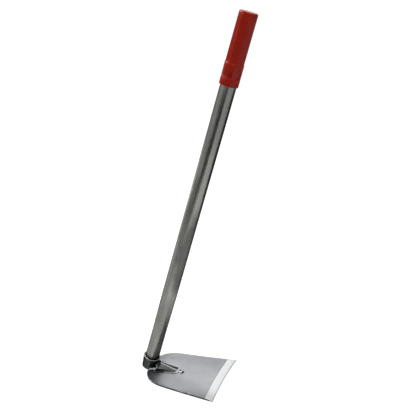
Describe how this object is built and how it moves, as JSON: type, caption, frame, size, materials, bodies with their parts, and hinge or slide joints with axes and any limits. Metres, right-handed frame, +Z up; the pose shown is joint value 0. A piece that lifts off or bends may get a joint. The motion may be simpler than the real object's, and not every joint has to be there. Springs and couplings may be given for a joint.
{
  "type": "weeding hoe",
  "caption": "Short weeding hoe: pressed steel blade with a ground bevel, welded through a collar and folded gusset to a leaning steel tube handle with a moulded grip.",
  "frame": {"origin": "on the blade's flat underside, at the middle of the blade's length and width, the point that rests on the ground", "axes": "+X from the collar towards the cutting edge, +Y across the blade, +Z up, away from the ground that the blade lies on"},
  "size_m": [0.1947, 0.131, 0.6017],
  "materials": {
    "blade_steel": "satin rolled face with a bright ground bevel",
    "gusset_steel": "satin, darker than the blade",
    "collar_steel": "dark scale with a bright turned chamfer",
    "tube_steel": "satin grey, drawn along its length",
    "weld_steel": "rippled bead, bright on its crests",
    "grip_plastic": "glossy moulded red"
  },
  "bodies": {
    "root": {"blade": "blade_steel", "gusset": "gusset_steel", "collar": "collar_steel", "handle_tube": "tube_steel", "grip": "grip_plastic", "collar_weld_near": "weld_steel", "collar_weld_far": "weld_steel", "gusset_weld_near": "weld_steel", "gusset_weld_far": "weld_steel", "gusset_collar_weld": "weld_steel", "gusset_tip_weld": "weld_steel", "handle_weld": "weld_steel"}
  },
  "joints": []
}
